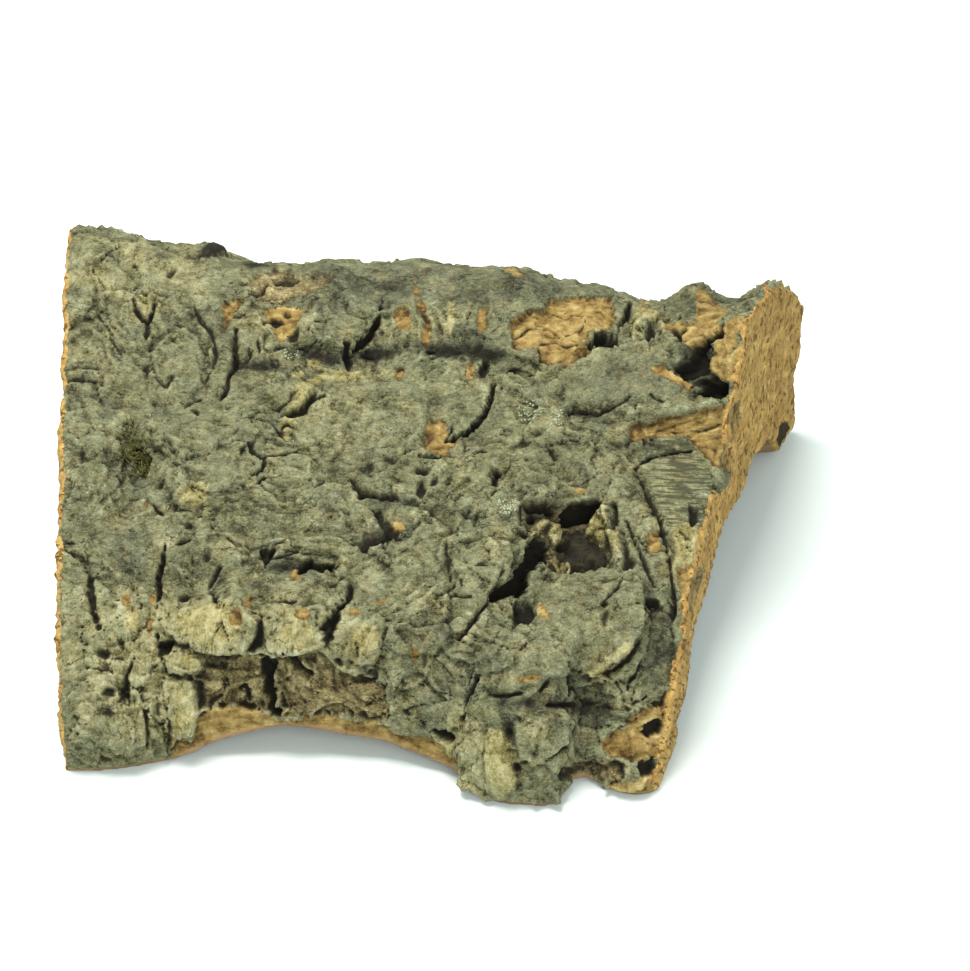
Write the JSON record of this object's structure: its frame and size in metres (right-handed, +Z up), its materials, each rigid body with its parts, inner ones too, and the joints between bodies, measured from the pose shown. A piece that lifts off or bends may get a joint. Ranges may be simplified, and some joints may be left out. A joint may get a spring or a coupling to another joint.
{
  "type": "piece of cork bark",
  "caption": "Rough half-tube of virgin cork bark lying arch up, with weathered grey-green plates, deep fissures, bared orange cork and a slanting sawn end.",
  "frame": {"origin": "middle of the bark's box, on the table plane under it", "axes": "+X along the arch, from the left end to the slanting sawn end; +Y from the low ragged edge to the high steep one; +Z up, out of the weathered side"},
  "size_m": [0.156, 0.1286, 0.0624],
  "materials": {
    "weathered_cork": "dull, rough and crumbly, grey-green outside, orange-brown where cut or torn"
  },
  "bodies": {
    "root": {"bark": "weathered_cork"}
  },
  "joints": []
}
